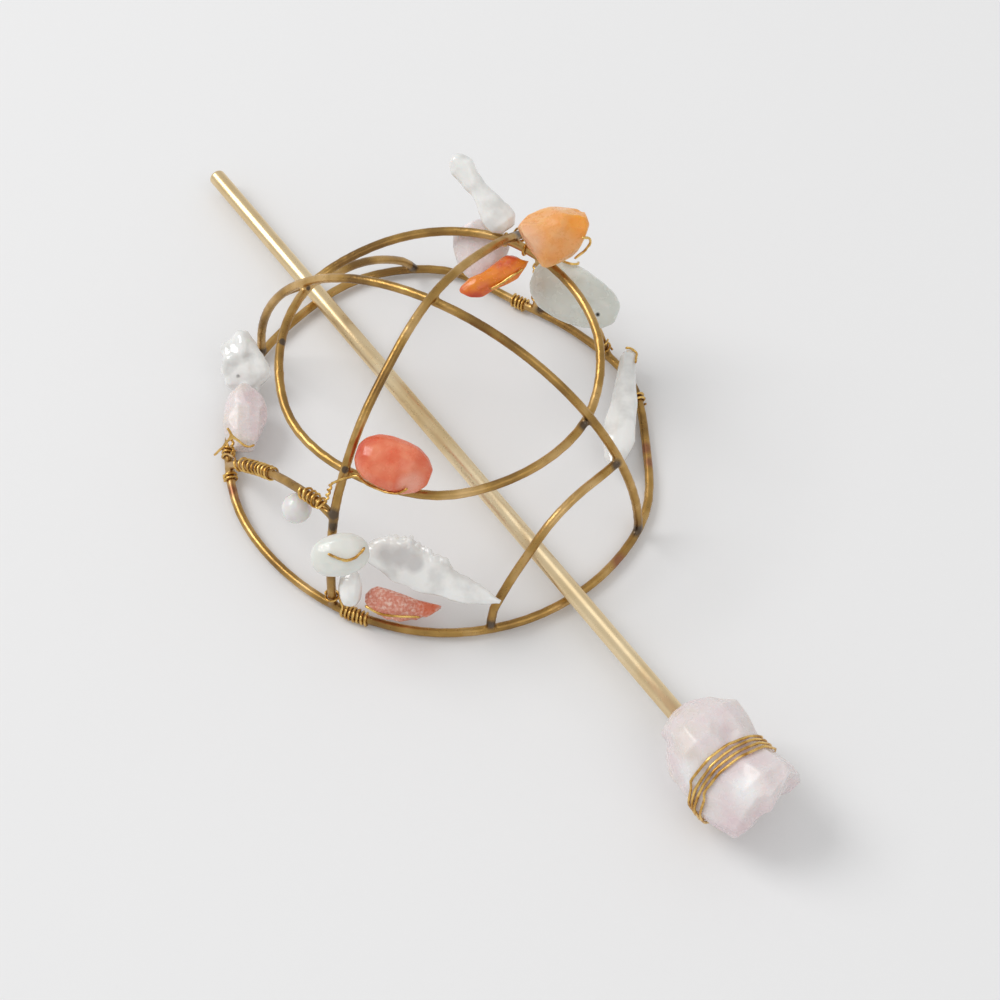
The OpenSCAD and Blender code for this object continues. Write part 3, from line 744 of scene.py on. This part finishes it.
class BUNCAGE_OT_stage(bpy.types.Operator):
    """Makes the floor, the soft light and the camera."""

    bl_idname = "bun_cage.stage"
    bl_label = "Stage"

    # Half the width of the floor in m
    FLOOR = 3
    # Name, place in m, size in m, share of the lamp's power
    LAMPS = (
        ("window", (-0.95, 0.35, 1.15), 0.8, 1.0),
        ("fill", (0.6, -0.6, 1.0), 0.8, 0.15),
    )

    def execute(self, context):
        s = context.scene.bun_cage_stage
        mesh = bpy.data.meshes.new("floor")
        corners = [(x * self.FLOOR, y * self.FLOOR, 0) for x, y in ((-1, -1), (1, -1), (1, 1), (-1, 1))]
        mesh.from_pydata(corners, [], [(0, 1, 2, 3)])
        floor = bpy.data.objects.new("floor", mesh)
        context.scene.collection.objects.link(floor)
        # Painted board, rolled: matt white
        mat = finish(
            "matt_white_paint",
            ((0.3, s.floor[:]), (0.7, s.floor[:])),
            40,
            (0.05, 6),
            (0.8, 0.95),
            {"Specular IOR Level": 0.2},
        )
        dress(floor, mat)
        world = bpy.data.worlds.new("even_light")
        world.use_nodes = True
        back = world.node_tree.nodes["Background"]
        back.inputs["Color"].default_value = (*linear("F6F6F5"), 1)
        back.inputs["Strength"].default_value = s.sky
        context.scene.world = world
        for name, place, size, share in self.LAMPS:
            light = bpy.data.lights.new(name, "AREA")
            light.size = size
            light.energy = s.lamp * share
            lamp = bpy.data.objects.new(name, light)
            lamp.location = place
            lamp.rotation_euler = (-Vector(place)).to_track_quat("-Z", "Y").to_euler()
            context.scene.collection.objects.link(lamp)
        view = bpy.data.cameras.new("camera")
        view.lens = s.lens
        view.sensor_width = SENSOR
        view.clip_start = 0.01
        camera = bpy.data.objects.new("camera", view)
        camera.location = EYE
        camera.rotation_euler = (s.tilt, 0, 0)
        context.scene.collection.objects.link(camera)
        context.scene.camera = camera
        context.scene.view_settings.view_transform = "Standard"
        return {"FINISHED"}


class BUNCAGE_PT_panel(bpy.types.Panel):
    """Lists the pieces and their settings."""

    bl_idname = "BUNCAGE_PT_panel"
    bl_label = "Bun Cage"
    bl_space_type = "VIEW_3D"
    bl_region_type = "UI"
    bl_category = "Bun Cage"

    def draw(self, context):
        column = self.layout.column()
        for name, _ in GROUPS:
            group = getattr(context.scene, name)
            for key in group.__annotations__:
                column.prop(group, key)
        for piece in OPERATORS:
            column.operator(piece.bl_idname)


GROUPS = (
    ("bun_cage_metal", BUNCAGE_PG_metal),
    ("bun_cage_stones", BUNCAGE_PG_stones),
    ("bun_cage_stage", BUNCAGE_PG_stage),
)
OPERATORS = (
    BUNCAGE_OT_cage,
    BUNCAGE_OT_stick,
    BUNCAGE_OT_raw_stones,
    BUNCAGE_OT_smooth_stones,
    BUNCAGE_OT_bead,
    BUNCAGE_OT_binding,
    BUNCAGE_OT_stage,
)


def register():
    for name, group in GROUPS:
        bpy.utils.register_class(group)
        setattr(bpy.types.Scene, name, PointerProperty(type=group))
    for item in (*OPERATORS, BUNCAGE_PT_panel):
        bpy.utils.register_class(item)


def unregister():
    for item in (BUNCAGE_PT_panel, *reversed(OPERATORS)):
        bpy.utils.unregister_class(item)
    for name, group in reversed(GROUPS):
        delattr(bpy.types.Scene, name)
        bpy.utils.unregister_class(group)


def main():
    register()
    for piece in OPERATORS:
        group, name = piece.bl_idname.split(".")
        if getattr(getattr(bpy.ops, group), name)() != {"FINISHED"}:
            raise RuntimeError(piece.bl_label + " didn't finish")


if __name__ == "__main__":
    main()
